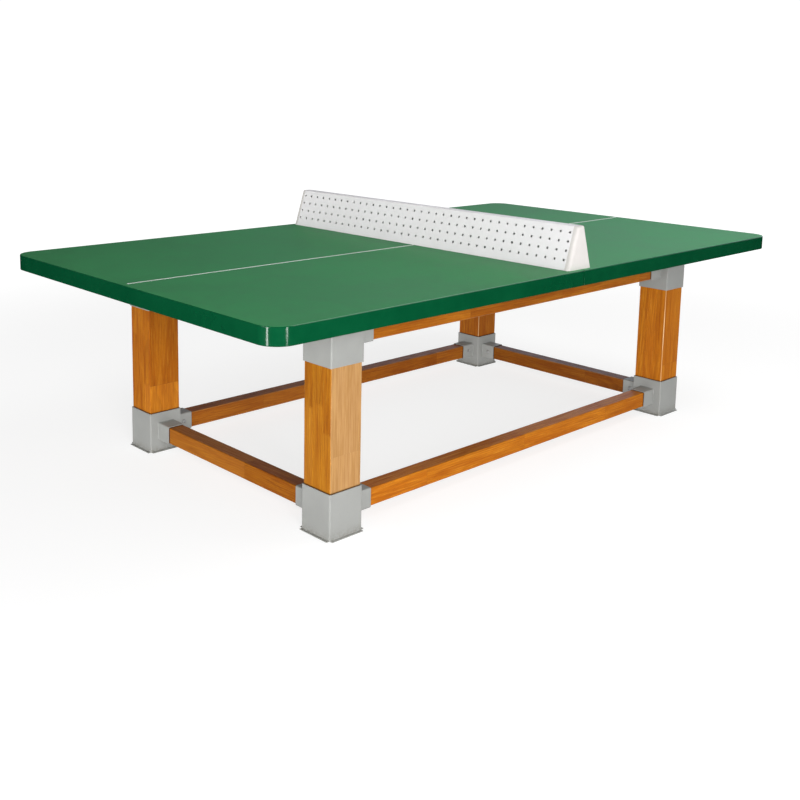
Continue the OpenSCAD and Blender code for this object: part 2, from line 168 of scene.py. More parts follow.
class Network:
    """Node tree built from nothing, with short calls for the nodes that it is made of."""

    def __init__(self, tree):
        self.tree = tree
        tree.nodes.clear()

    def put(self, socket, value):
        if isinstance(value, bpy.types.NodeSocket):
            self.tree.links.new(value, socket)
        else:
            socket.default_value = value

    def node(self, kind, **values):
        """Adds a node. Small-letter names are its settings, and names with capitals are its sockets."""
        made = self.tree.nodes.new(f"ShaderNode{kind}")
        for name, value in values.items():
            if name.islower():
                setattr(made, name, value)
            else:
                self.put(made.inputs[name.replace("_", " ")], value)
        return made

    def fill(self, made, *values):
        """Puts values into a node's first sockets, and gives its first output."""
        for socket, value in zip(made.inputs, values):
            self.put(socket, value)
        return made.outputs[0]

    def math(self, operation, a, b=0.0):
        return self.fill(self.node("Math", operation=operation), a, b)

    def plus(self, a, b):
        return self.math("ADD", a, b)

    def times(self, a, b):
        return self.math("MULTIPLY", a, b)

    def vector(self, operation, a, b):
        return self.fill(self.node("VectorMath", operation=operation), a, b)

    def join(self, x, y, z):
        return self.fill(self.node("CombineXYZ"), x, y, z)

    def split(self, value):
        return list(self.node("SeparateXYZ", Vector=value).outputs)

    def facing(self):
        """Parts of the surface's normal: the one along Z is 1 where it faces up and -1 underneath."""
        return self.split(self.node("NewGeometry").outputs["Normal"])

    def noise(self, place, scale, detail=2.0, rough=0.5, warp=0.0):
        made = self.node("TexNoise", Vector=place, Scale=scale, Detail=detail, Roughness=rough,
                         Distortion=warp)
        return made.outputs["Fac"]

    def cells(self, place, scale):
        return self.node("TexVoronoi", Vector=place, Scale=scale).outputs["Distance"]

    def random(self, place):
        made = self.node("TexWhiteNoise", noise_dimensions="3D", Vector=place)
        return made.outputs["Value"], made.outputs["Color"]

    def remap(self, value, low, high, to_low=0.0, to_high=1.0):
        """Eases from to_low, where the value is low, to to_high, where it is high."""
        made = self.node("MapRange", interpolation_type="SMOOTHSTEP")
        return self.fill(made, value, low, high, to_low, to_high)

    def mix(self, amount, a, b, blend="MIX"):
        made = self.node("Mix", data_type="RGBA", blend_type=blend, Factor=amount)
        self.put(made.inputs[6], a)
        self.put(made.inputs[7], b)
        return made.outputs[2]

    def shade(self, colour, level):
        return self.mix(1.0, colour, self.join(level, level, level), "MULTIPLY")

    def wash(self, colour, *washes):
        """Lays (amount, tone) pairs over a colour, one after another."""
        for amount, tone in washes:
            colour = self.mix(amount, colour, tone)
        return colour

    def choose(self, amount, a, b):
        """Shader a where the amount is 0, and shader b where it is 1."""
        return self.fill(self.node("MixShader"), amount, a, b)

    def bump(self, height, strength, distance, **under):
        made = self.node("Bump", Height=height, Strength=strength, Distance=distance, **under)
        return made.outputs["Normal"]


class Shader(Network):
    """Material with a Principled surface."""

    def __init__(self, name):
        self.material = bpy.data.materials.new(name)
        self.material.use_nodes = True
        super().__init__(self.material.node_tree)
        self.surface = self.node("BsdfPrincipled")
        self.node("OutputMaterial", Surface=self.surface.outputs["BSDF"])
        self.place = self.node("TexCoord").outputs["Object"]

    def set(self, **values):
        """Sets sockets of the surface: underscores stand for spaces."""
        for name, value in values.items():
            self.put(self.surface.inputs[name.replace("_", " ")], value)


def rgb(red, green, blue):
    return (red, green, blue, 1.0)


# ---------- materials

def gelcoat_material():
    """Moulded green top: a finely textured playing surface and a glossier rim. Faces that look up are
    coloured
    far lighter and redder than the rim: painted sheen.
    """
    s = Shader("green_gelcoat")
    deep = rgb(0.0002, 0.053, 0.018)
    pale = rgb(0.0006, 0.064, 0.022)
    field_with_painted_sheen = rgb(0.0230, 0.228, 0.067)
    cloud = s.noise(s.place, 3.2, 5.0, 0.6, 0.4)
    patch = s.noise(s.place, 26.0, 4.0, 0.55)
    speck = s.noise(s.place, 900.0, 2.0, 0.6)
    level = s.plus(s.times(cloud, 0.6), s.times(patch, 0.4))
    up = s.facing()[Z]
    playing = s.remap(up, 0.75, 0.98)
    under = s.remap(up, -0.3, -0.9)
    colour = s.wash(
        s.mix(s.remap(level, 0.32, 0.68), deep, pale),
        (s.remap(speck, 0.56, 0.75, 0.0, 0.16), rgb(0.015, 0.11, 0.048)),
        # Upward faces take the lighter field colour: painted sheen, with their own cloudy tone
        (playing, s.shade(field_with_painted_sheen, s.remap(level, 0.30, 0.70, 0.90, 1.10))),
        (under, s.mix(patch, rgb(0.006, 0.05, 0.022), rgb(0.012, 0.085, 0.038))))
    scuff = s.noise(s.vector("MULTIPLY", s.place, (3.0, 55.0, 1.0)), 4.0, 3.0, 0.7, 0.5)
    rough = 0.11
    for more in (s.times(playing, 0.48), s.times(under, 0.35), s.remap(level, 0.3, 0.7, 0.0, 0.05),
                 s.remap(scuff, 0.66, 0.80, 0.0, -0.04)):
        rough = s.plus(rough, more)
    s.set(Base_Color=colour, Roughness=rough)
    grit = s.times(s.noise(s.place, 1400.0, 3.0, 0.7), s.remap(up, 0.75, 0.98, 0.15, 1.0))
    s.set(Normal=s.bump(s.noise(s.place, 9.0, 3.0, 0.5), 0.08, 0.003, Normal=s.bump(grit, 0.10, 0.0004)))
    return s.material


def net_material(name, clean, aged):
    """Off-white powder coat, greyer where it has aged and dusty at its foot."""
    s = Shader(name)
    grime = s.noise(s.place, 7.0, 6.0, 0.65, 0.6)
    dust = s.times(s.remap(s.split(s.place)[Z], 0.775, 0.760, 0.0, 0.35), grime)
    colour = s.wash(clean, (s.remap(grime, 0.35, 0.75), aged), (dust, rgb(0.55, 0.56, 0.50)))
    s.set(Base_Color=colour, Roughness=s.remap(grime, 0.3, 0.7, 0.42, 0.52), Specular_IOR_Level=0.35)
    s.set(Normal=s.bump(s.noise(s.place, 700.0), 0.12, 0.0003))
    return s.material


def line_material():
    """White line paint, slightly worn."""
    s = Shader("line_paint")
    wear = s.noise(s.place, 140.0, 5.0, 0.7)
    colour = s.mix(s.remap(wear, 0.56, 0.74), rgb(0.85, 0.86, 0.84), rgb(0.55, 0.66, 0.58))
    s.set(Base_Color=colour, Roughness=0.5)
    s.set(Normal=s.bump(wear, 0.2, 0.0002))
    return s.material


def board_pattern(s, along, across, lamella, seed):
    """The board at a place in its lamella: its random level and colour, and the line of its finger joint."""
    layer = s.math("FLOOR", s.plus(s.math("DIVIDE", across, lamella), 0.5))
    layer_shift = s.random(s.join(layer, seed, 4.7))[0]
    teeth = s.times(s.math("PINGPONG", across, 0.0019), 6.0)
    place = s.plus(s.times(s.plus(along, teeth), 1.9), layer_shift)
    level, colour = s.random(s.join(layer, s.math("FLOOR", place), seed))
    joint = s.math("ABSOLUTE", s.math("SUBTRACT", s.math("FRACT", place), 0.0012))
    return level, colour, s.math("LESS_THAN", joint, 0.0010)


def growth_rings(s, u, v, w):
    """Late wood of rings round a pith outside the board, bent slowly along the grain."""
    sway = s.noise(s.join(u, v, s.times(w, 0.35)), 5.0, 3.0, 0.5)
    pith_u = s.plus(u, s.times(sway, 0.09))
    pith_v = s.plus(v, s.times(w, 0.03))
    radius = s.math("SQRT", s.plus(s.times(pith_u, pith_u), s.times(pith_v, pith_v)))
    ring = s.math("FRACT", s.times(radius, 150.0))
    return s.times(s.remap(ring, 0.25, 0.92), s.remap(ring, 1.0, 0.94))


def timber_material(node, grain, stack_axis, lamella, mouth, seed, look):
    """Varnished hardwood in the place of a CAD node, in metres. grain is the axis the fibres run along, and
    lamellas are stacked along another. mouth is how far from the middle, along the grain, the timber goes
    into its steel bracket: painted shade darkens it from a few millimetres before there, for the gap at the
    mouth."""
    s = Shader(f"timber_{node}")
    low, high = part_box(node)
    half = (high[stack_axis] - low[stack_axis]) / 2
    parts = s.split(s.vector("SUBTRACT", s.place, tuple((low + high) / 2)))
    along, across, side = parts[grain], parts[stack_axis], parts[3 - grain - stack_axis]
    board_level, board_colour, joint_line = board_pattern(s, along, across, lamella, seed)

    # Own coordinates for each board, so that its figure is its own
    shift = s.split(s.vector("MULTIPLY", board_colour, (0.9, 0.9, 0.9)))
    u, v, w = (s.plus(part, more) for part, more in zip((across, side, along), shift))

    # Stain scaled by the piece's brightness, which holds painted shade as well as its own tone
    def stain(red, green, blue):
        return rgb(red * look.tint, green * look.tint * look.green, blue * look.tint)

    def drawn_out(stretch, scale, detail, rough, warp=0.0):
        """Noise drawn out along the grain."""
        return s.noise(s.join(u, v, s.times(w, stretch)), scale, detail, rough, warp)

    late_wood = growth_rings(s, u, v, w)
    fibre = drawn_out(0.020, 950.0, 3.0, 0.65)
    streak = drawn_out(0.045, 210.0, 4.0, 0.6, 0.3)
    band = drawn_out(0.10, 42.0, 3.0, 0.5, 0.4)
    pore = s.remap(drawn_out(0.035, 1500.0, 1.0, 0.4), 0.64, 0.72)
    figure = drawn_out(0.6, 30.0, 3.0, 0.6, 1.2)
    fleck = drawn_out(0.12, 320.0, 2.0, 0.6, 0.3)

    honey = stain(0.476, 0.156, 0.005)
    amber = stain(0.374, 0.102, 0.002)
    brown = stain(0.212, 0.049, 0.002)
    straw = stain(0.561, 0.232, 0.023)
    colour = s.wash(
        s.mix(s.remap(band, 0.34, 0.66), honey, amber),
        (s.remap(streak, 0.50, 0.70, 0.0, 0.60), brown),
        (s.remap(streak, 0.46, 0.32, 0.0, 0.50), straw),
        (s.times(late_wood, 0.30), brown),
        (s.remap(fibre, 0.52, 0.70, 0.0, 0.35), brown),
        (s.times(pore, 0.45), rgb(0.10, 0.030, 0.006)),
        (s.remap(figure, 0.50, 0.68, 0.0, 0.30), amber),
        (s.remap(fleck, 0.60, 0.72, 0.0, 0.40), brown),
        (s.remap(board_level, 0.45, 1.0, 0.0, 0.30), stain(0.425, 0.180, 0.026)))
    colour = s.shade(colour, s.remap(board_level, 0.0, 1.0, 0.91, 1.09))

    # Finger joints, painted sheen on the front face, painted highlight on the arrises, and painted shade at
    # the mouth of the bracket
    front = s.remap(s.facing()[Y], -0.70, -0.95)
    # Pale grey tone laid over faces that look to the front: painted sheen
    painted_sheen_tone = s.mix(s.remap(streak, 0.35, 0.65), rgb(0.43, 0.257, 0.110), rgb(0.345, 0.192, 0.071))
    # Mask along the arrises for a pale wood tone there: painted highlight
    both = s.math("MINIMUM", s.math("ABSOLUTE", across), s.math("ABSOLUTE", side))
    edge = s.times(s.remap(both, half - 0.0034, half - 0.0018), s.remap(band, 0.35, 0.55, 0.4, 1.0))
    # Painted shade for the dark gap at the bracket's mouth, strongest from the mouth inwards
    painted_gap_shade_start = s.plus(mouth - 0.009, s.times(streak, 0.006))
    painted_gap_shade = s.remap(s.math("ABSOLUTE", along), painted_gap_shade_start, mouth, 0.0, 0.85)
    colour = s.wash(
        colour,
        (s.times(joint_line, 0.55), rgb(0.12, 0.040, 0.010)),
        (s.times(front, look.bleach), painted_sheen_tone),
        (s.times(edge, look.arris), rgb(0.80, 0.58, 0.32)),
        (painted_gap_shade, rgb(0.030, 0.011, 0.004)))

    s.set(Base_Color=colour, Roughness=s.remap(streak, 0.3, 0.7, 0.36, 0.50))
    s.set(Coat_Weight=0.03, Coat_Roughness=0.25, Specular_IOR_Level=0.10)
    relief = s.math("SUBTRACT", s.times(fibre, 0.6), s.times(pore, 0.5))
    relief = s.math("SUBTRACT", relief, s.times(late_wood, 0.35))
    s.set(Normal=s.bump(relief, 0.22, 0.0005))
    return s.material


def bracket_material():
    """Light grey satin powder coat over galvanised steel, splashed near the ground."""
    s = Shader("bracket_powder_coat")
    cloud = s.noise(s.place, 9.0, 5.0, 0.6, 0.6)
    mottle = s.noise(s.place, 120.0, 4.0, 0.6)
    height = s.split(s.place)[Z]
    splash = s.times(s.remap(height, 0.035, 0.0, 0.0, 0.5), s.remap(mottle, 0.35, 0.6))
    colour = s.wash(
        rgb(0.300, 0.303, 0.289),
        (s.remap(cloud, 0.3, 0.7), rgb(0.322, 0.325, 0.311)),
        (s.remap(mottle, 0.5, 0.8, 0.0, 0.20), rgb(0.270, 0.272, 0.260)),
        (splash, rgb(0.20, 0.19, 0.16)))
    rough = s.plus(s.remap(cloud, 0.3, 0.7, 0.36, 0.47), s.times(s.cells(s.place, 1500.0), 0.08))
    s.set(Base_Color=colour, Metallic=0.15, Roughness=rough, Specular_IOR_Level=0.4)
    s.set(Normal=s.bump(s.noise(s.place, 800.0), 0.14, 0.0003))
    return s.material


def steel_material(name, tone, rough):
    """Bare steel fixings, with turning marks and slight tarnish."""
    s = Shader(name)
    tarnish = s.noise(s.place, 160.0, 4.0, 0.6)
    marks = s.noise(s.vector("MULTIPLY", s.place, (1.0, 1.0, 9.0)), 1500.0, 2.0, 0.6)
    bright = rgb(*(tone * c for c in (1.0, 1.0, 1.02)))
    dull = rgb(*(0.6 * tone * c for c in (1.0, 0.97, 0.92)))
    s.set(Base_Color=s.mix(s.remap(tarnish, 0.4, 0.75), bright, dull), Metallic=0.6)
    s.set(Roughness=s.remap(tarnish, 0.3, 0.7, rough, rough + 0.14))
    s.set(Normal=s.bump(marks, 0.15, 0.0002))
    return s.material


def brass_material():
    s = Shader("insert_brass")
    tarnish = s.noise(s.place, 200.0, 4.0, 0.6)
    s.set(Base_Color=s.mix(tarnish, rgb(0.62, 0.43, 0.14), rgb(0.34, 0.22, 0.08)), Metallic=1.0)
    s.set(Roughness=s.remap(tarnish, 0.3, 0.7, 0.28, 0.45))
    s.set(Normal=s.bump(tarnish, 0.1, 0.0002))
    return s.material


# ---------- shapes

def mm_box(node):
    """Lowest and highest corner of a CAD node, in millimetres."""
    low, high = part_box(node)
    return low / MM, high / MM


def mm_centre(node):
    low, high = mm_box(node)
    return (low + high) / 2


def add_object(name, data):
    made = bpy.data.objects.new(name, data)
    bpy.context.scene.collection.objects.link(made)
    return made


def add_piece(name, bm, material, replaced, smooth_angle=35.0, clean=True):
    """Makes a piece from a mesh in millimetres, in the place of a CAD node."""
    if clean:
        bmesh.ops.recalc_face_normals(bm, faces=bm.faces)
    bmesh.ops.scale(bm, vec=(MM, MM, MM), verts=bm.verts)
    mesh = bpy.data.meshes.new(name)
    bm.to_mesh(mesh)
    bm.free()
    mesh.polygons.foreach_set("use_smooth", [True] * len(mesh.polygons))
    mesh.set_sharp_from_angle(angle=math.radians(smooth_angle))
    mesh.materials.append(material)
    piece = add_object(name, mesh)
    piece.modifiers.new("weighted_normals", "WEIGHTED_NORMAL").keep_sharp = True
    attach(piece, BODY)
    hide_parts(replaced)
    return piece


def add_ring(bm, points):
    return [bm.verts.new(p) for p in points]


def skin(bm, rings, closed=True, loop=False):
    """Joins rings of equal length with quads. closed joins each ring's ends; loop joins last to first."""
    pairs = list(zip(rings, rings[1:]))
    if loop:
        pairs.append((rings[-1], rings[0]))
    for a, b in pairs:
        count = len(a)
        for k in range(count if closed else count - 1):
            n = (k + 1) % count
            bm.faces.new((a[k], a[n], b[n], b[k]))


def solid(bm, rings):
    """Joins rings and closes the first and the last."""
    skin(bm, rings)
    bm.faces.new(rings[0])
    bm.faces.new(rings[-1])


def stack(bm, place, layers):
    """Rings from (outline, height) layers along local Z, moved by a placement matrix."""
    return [add_ring(bm, [place @ Vector((p[0], p[1], z)) for p in outline]) for outline, z in layers]


def move(x, y, z):
    return Matrix.Translation((x, y, z))


def turn(degrees, axis):
    return Matrix.Rotation(math.radians(degrees), 4, axis)


def arc(cx, cy, r, start, end, steps):
    """Points on an arc from start to end, in degrees."""
    points = []
    for k in range(steps + 1):
        angle = math.radians(start + (end - start) * k / steps)
        points.append((cx + r * math.cos(angle), cy + r * math.sin(angle)))
    return points


def round_rect(half_w, half_h, radii, steps=6):
    """Rectangle round the origin, anticlockwise from its right side, with a radius for each corner."""
    points = []
    for (sx, sy, start), r in zip(QUADRANTS, radii):
        points += arc(sx * (half_w - r), sy * (half_h - r), r, start, start + 90, steps)
    return points


def circle(r, sides=ROUND_STEPS):
    """Circle round the origin, anticlockwise from its right side."""
    return arc(0, 0, r, 0, 360, sides)[:-1]


def hexagon(across_flats, limit=math.inf):
    """Hexagon cut to a circle of radius limit, with as many points as a circle."""
    points = []
    for k in range(ROUND_STEPS):
        angle = 2 * math.pi * k / ROUND_STEPS
        from_flat = (angle % (math.pi / 3)) - math.pi / 6
        radius = min(across_flats / 2 / math.cos(from_flat), limit)
        points.append((radius * math.cos(angle), radius * math.sin(angle)))
    return points


def square_tube(bm, place, outer, wall, outer_r, length, ease=0.9):
    """Open square tube along local Z with softened rims."""
    outside, inside = outer / 2, outer / 2 - wall
    sections = [(outside, ease), (outside - 0.3 * ease, 0.3 * ease), (outside - ease, 0.0)]
    sections += [(inside + ease, 0.0), (inside + 0.3 * ease, 0.3 * ease), (inside, ease)]
    sections += [(half, length - z) for half, z in reversed(sections)]
    layers = []
    for half, z in sections:
        r = max(outer_r - (outside - half), outer_r - wall + 0.5)
        layers.append((round_rect(half, half, [r] * 4), z))
    skin(bm, stack(bm, place, layers), loop=True)


def plate(bm, place, half_w, half_h, r, thickness, ease=0.8):
    """Solid plate on local Z = 0 with rounded corners and softened edges."""
    layers = []
    for inset, z in ((ease, 0.0), (0.3 * ease, 0.3 * ease), (0.0, ease), (0.0, thickness - ease),
                     (0.3 * ease, thickness - 0.3 * ease), (ease, thickness)):
        layers.append((round_rect(half_w - inset, half_h - inset, [max(r - inset, 0.3)] * 4), z))
    solid(bm, stack(bm, place, layers))


def hex_head(bm, place, across_flats, height):
    """Hexagon head from local Z = 0 down, its free corners chamfered."""
    corner = across_flats / math.sqrt(3)
    chamfer = ((1.0, 0.0), (1.0, -0.80), (0.96, -0.90), (0.90, -0.97), (0.82, -1.0))
    solid(bm, stack(bm, place, [(hexagon(across_flats, cut * corner), z * height) for cut, z in chamfer]))


def nut(bm, place, across_flats, hole_r, height):
    """Hexagon nut from local Z = 0 up, chamfered at both ends and open in the middle."""
    corner = across_flats / math.sqrt(3)
    chamfer = ((0.87, 0.0), (0.96, 0.07), (1.0, 0.16), (1.0, 0.84), (0.96, 0.93), (0.87, 1.0))
    mouth = 0.6
    hole = ((hole_r + mouth, height), (hole_r, height - mouth), (hole_r, mouth), (hole_r + mouth, 0.0))
    layers = [(hexagon(across_flats, cut * corner), z * height) for cut, z in chamfer]
    layers += [(circle(r), z) for r, z in hole]
    skin(bm, stack(bm, place, layers), loop=True)


def washer(bm, place, outer_r, inner_r, ease=0.3):
    """Washer from local Z = 0 up."""
    heights = (0.0, ease, WASHER_T - ease, WASHER_T)
    outside = list(zip((outer_r - ease, outer_r, outer_r, outer_r - ease), heights))
    inside = list(zip((inner_r + ease, inner_r, inner_r, inner_r + ease), reversed(heights)))
    skin(bm, stack(bm, place, [(circle(r, 40), z) for r, z in outside + inside]), loop=True)


def threaded_rod(bm, place, r, bottom, top, pitch=1.25):
    """Rod with thread ridges, its end chamfered."""
    depth = 0.09 * r
    chamfer = 0.8
    z = bottom + chamfer
    profile = [(r - 3 * depth, bottom), (r, z)]
    while z + pitch < top:
        profile += [(r - depth, z + 0.5 * pitch), (r, z + pitch)]
        z += pitch
    profile.append((r, top))
    solid(bm, stack(bm, place, [(circle(radius, 24), height) for radius, height in profile]))


def button_head(bm, place, shank_r):
    """Domed screw head with a hexagon socket, standing out along local -Z."""
    head_r = 2.0 * shank_r
    head_h = 1.15 * shank_r
    crown_r = (head_r ** 2 + head_h ** 2) / (2 * head_h)
    lip_r = 0.62 * shank_r + 0.9
    steps = 7
    layers = []
    for k in range(steps + 1):
        r = head_r + (lip_r - head_r) * k / steps
        z = crown_r - head_h - math.sqrt(crown_r ** 2 - r ** 2)
        layers.append((circle(r), min(z, 0.0)))
    mouth_z = layers[-1][1]
    socket = hexagon(1.1 * shank_r)
    lip = [(x * 1.06, y * 1.06) for x, y in socket]
    layers += [(lip, mouth_z - 0.02), (socket, mouth_z + 0.3), (socket, -0.3 * head_h)]
    solid(bm, stack(bm, place, layers))


def weld_bead(bm, place, half, corner_r, leg=2.2, ripple=5.0):
    """Weld round a square tube's root: a fillet that rises and falls with each pass of the torch."""
    outline = round_rect(half, half, [corner_r] * 4, 8)
    section = ((-0.3, -0.3), (1.0, -0.3), (1.0, 0.1), (0.62, 0.42), (0.42, 0.62), (0.1, 1.0), (-0.3, 1.0))
    path = []
    for a, b in zip(outline, outline[1:] + outline[:1]):
        steps = max(1, round(math.dist(a, b) / (ripple / 5)))
        path += [(a[0] + (b[0] - a[0]) * k / steps, a[1] + (b[1] - a[1]) * k / steps) for k in range(steps)]
    rings = []
    travelled = 0.0
    for k, here in enumerate(path):
        ahead, behind = path[(k + 1) % len(path)], path[k - 1]
        direction = Vector((ahead[0] - behind[0], ahead[1] - behind[1], 0)).normalized()
        outward = Vector((direction.y, -direction.x, 0))
        travelled += math.dist(here, ahead)
        size = leg * (1 + 0.13 * math.sin(2 * math.pi * travelled / ripple))
        centre = Vector((here[0], here[1], 0))
        rings.append(add_ring(bm, [place @ (centre + outward * (size * out) + Vector((0, 0, size * rise)))
                                   for out, rise in section]))
    skin(bm, rings, loop=True)


def sweep_profile(bm, place, profile, start, end):
    """Closed profile in local X and Z, drawn out along local Y from start to end."""
    solid(bm, [add_ring(bm, [place @ Vector((p[0], y, p[1])) for p in profile]) for y in (start, end)])


# ---------- top

def half_outline(x_seam, x_end, half_y, inset, z):
    """Plan outline of a half: almost square at the seam, and round at the table's two corners."""
    seam_inset = SEAM_GAP + 0.2 * inset
    edge_r = 2.0
    near, far = -half_y + inset, half_y - inset
    seam = x_seam + seam_inset
    points = arc(seam + edge_r, near + edge_r, edge_r, 180, 270, 3)
    points += arc(x_end - CORNER_R, -half_y + CORNER_R, CORNER_R - inset, -90, 0, 24)
    points += arc(x_end - CORNER_R, half_y - CORNER_R, CORNER_R - inset, 0, 90, 24)
    points += arc(seam + edge_r, far - edge_r, edge_r, 90, 180, 3)
    return [Vector((p[0], p[1], z)) for p in points]


def quarter_round(r, steps):
    """(inset, drop) pairs over a rounded edge, from the side wall to the face."""
    return arc(r, r, r, 180, 270, steps)


def hollow_length(length, count):
    """Length of each of count equal hollows, with ribs between them."""
    return (length - (count - 1) * RIB_T) / count


def pocket_spans(x_seam, x_end, half_y):
    """Plan limits of the hollows between the ribs. Those beside the posts end at the solid pads."""
    post_y = mm_centre("post_rear_right").y
    length_x = hollow_length(x_end - x_seam - 2 * RIM_T, POCKETS_X)
    length_y = hollow_length(2 * half_y - 2 * RIM_T, POCKETS_Y)
    spans = []
    for column in range(POCKETS_X):
        x0 = x_seam + RIM_T + column * (length_x + RIB_T)
        for row in range(POCKETS_Y // 2):
            y0 = RIB_T / 2 + row * (length_y + RIB_T)
            y1 = y0 + length_y
            if column == PAD_COLUMN and y0 < post_y < y1 + RIB_T:
                y1 = post_y - PAD_WIDTH / 2
            elif column == PAD_COLUMN and y1 > post_y:
                y0 = post_y + PAD_WIDTH / 2
            spans.append((x0, x0 + length_x, y0, y1))
            spans.append((x0, x0 + length_x, -y1, -y0))
    return spans


def pocket_radii(span, x_end, half_y):
    """A hollow's radius at each corner: larger where it follows the table's own rounded corner."""
    x1, y0, y1 = span[1:]
    beside_rim = RIM_T + 1
    at_corner = x1 > x_end - beside_rim and max(-y0, y1) > half_y - beside_rim
    outer = (1, 1 if y1 > 0 else -1)
    return [HOLLOW_CORNER_R if at_corner and (sx, sy) == outer else POCKET_R for sx, sy, _ in QUADRANTS]


def pocket(bm, span, radii, z_mouth, z_skin):
    """One hollow under the top: soft mouth, drafted walls and a filleted ceiling. Returns its mouth."""
    x0, x1, y0, y1 = span
    half_w, half_h = (x1 - x0) / 2, (y1 - y0) / 2
    lip, fillet, draft = 1.6, 5.0, 0.8
    mouth = ((1.0, 0.0), (0.5, 0.13), (0.13, 0.5), (0.0, 1.0))
    steps = [(-back * lip, z_mouth + rise * lip) for back, rise in mouth]
    for inset, drop in quarter_round(fillet, 4):
        steps.append((draft + inset, z_skin - drop))
    layers = []
    for inset, z in steps:
        layers.append((round_rect(half_w - inset, half_h - inset, [max(r - inset, 2.0) for r in radii]), z))
    rings = stack(bm, move((x0 + x1) / 2, (y0 + y1) / 2, 0), layers)
    skin(bm, rings)
    bm.faces.new(rings[-1])
    return rings[0]


def top_half(side_name, side, material):
    """One moulded half: rounded rim, flat playing surface and a ribbed underside."""
    low, high = mm_box("top_half_right")
    x_seam, x_end, half_y = low.x, high.x, high.y
    steps = [(inset, low.z + rise) for inset, rise in reversed(quarter_round(FOOT_R, 3))]
    steps += [(inset, high.z - drop) for inset, drop in quarter_round(RIM_R, 7)]
    bm = bmesh.new()
    rings = [add_ring(bm, half_outline(x_seam, x_end, half_y, inset, z)) for inset, z in steps]
    skin(bm, rings)
    bm.faces.new(rings[-1])
    loops = [rings[0]]
    for span in pocket_spans(x_seam, x_end, half_y):
        loops.append(pocket(bm, span, pocket_radii(span, x_end, half_y), low.z, high.z - SKIN_T))
    edges = []
    for ring in loops:
        edges += [bm.edges.get((a, b)) for a, b in zip(ring, ring[1:] + ring[:1])]
    bmesh.ops.triangle_fill(bm, use_beauty=True, use_dissolve=False, edges=edges)
    if side < 0:
        bmesh.ops.scale(bm, vec=(-1, 1, 1), verts=bm.verts)
    add_piece(f"moulded_top_{side_name}", bm, material, f"top_half_{side_name}")


# ---------- net

NetSection = namedtuple("NetSection", "base_z height lean fold_x fold_z y_end")


def net_section():
    """The net's height, the lean of its faces, the centre of its ridge's right fold, and its half length."""
    low, high = mm_box("net_panel")
    height = high.z - low.z
    lean = math.atan((NET_BASE_W - NET_RIDGE_W) / 2 / height)
    fold_x = NET_RIDGE_W / 2 - NET_FOLD_R * (1 - math.sin(lean)) / math.cos(lean)
    return NetSection(low.z, height, lean, fold_x, height - NET_FOLD_R, high.y)


def net_outline(net, inset):
    """Open outline of the net from its right foot over the ridge to its left foot, in local X and Z."""
    r = NET_FOLD_R - inset
    lean_deg = math.degrees(net.lean)
    foot_x = net.fold_x + (r + net.fold_z * math.sin(net.lean)) / math.cos(net.lean)
    right = arc(net.fold_x, net.fold_z, r, lean_deg, 90, 6)
    left = arc(-net.fold_x, net.fold_z, r, 90, 180 - lean_deg, 6)
    return [(foot_x, 0.0)] + right + left + [(-foot_x, 0.0)]


def face_point(net, side, y, s):
    """Point on a slanted face, s millimetres down its slope from the ridge's corner."""
    x = side * (NET_RIDGE_W / 2 + s * math.sin(net.lean))
    return Vector((x, y, net.base_z + net.height - s * math.cos(net.lean)))


def net_cells(net):
    """Limits along the net of each hole's cell. The first and last cells reach the panel's ends."""
    middle = (NET_COLS - 1) / 2
    limits = [(k - 0.5 - middle) * NET_PITCH for k in range(NET_COLS + 1)]
    limits[0], limits[-1] = -net.y_end, net.y_end
    return list(zip(limits, limits[1:]))


def net_positions(net):
    """Positions along the net where its surface is divided: six steps to a cell."""
    positions = [-net.y_end]
    for y0, y1 in net_cells(net):
        positions += [y0 + (y1 - y0) * k / 6 for k in range(1, 7)]
    return positions


def cell_border(y0, y1, s0, s1):
    """Six steps along each side of a cell, from its first corner."""
    corners = ((y0, s0), (y1, s0), (y1, s1), (y0, s1))
    border = []
    for (ya, sa), (yb, sb) in zip(corners, corners[1:] + corners[:1]):
        border += [(ya + (yb - ya) * k / 6, sa + (sb - sa) * k / 6) for k in range(6)]
    return border


def perforated_face(bm, net, side, first_s, last_s):
    """Slanted face of the net: a plain strip, rows of cells with round holes, and another plain strip."""
    first_cell = NET_FIRST_ROW - NET_ROW_PITCH / 2
    last_cell = first_cell + NET_ROWS * NET_ROW_PITCH
    for pair in ((first_s, first_cell), (last_cell, last_s)):
        rows = [[face_point(net, side, y, s) for y in net_positions(net)] for s in pair]
        skin(bm, [add_ring(bm, row) for row in rows], closed=False)
    for row in range(NET_ROWS):
        s0 = first_cell + row * NET_ROW_PITCH
        for column, (y0, y1) in enumerate(net_cells(net)):
            hole_y = (column - (NET_COLS - 1) / 2) * NET_PITCH
            hole_s = s0 + NET_ROW_PITCH / 2
            # Twenty-four points round the hole, the first towards the cell's first corner
            outer, inner = [], []
            for k, (y, s) in enumerate(cell_border(y0, y1, s0, s0 + NET_ROW_PITCH)):
                angle = math.radians(225 + 15 * k)
                rim_y = hole_y + NET_HOLE_R * math.cos(angle)
                rim_s = hole_s + NET_HOLE_R * math.sin(angle)
                outer.append(bm.verts.new(face_point(net, side, y, s)))
                inner.append(bm.verts.new(face_point(net, side, rim_y, rim_s)))
            skin(bm, [outer, inner])


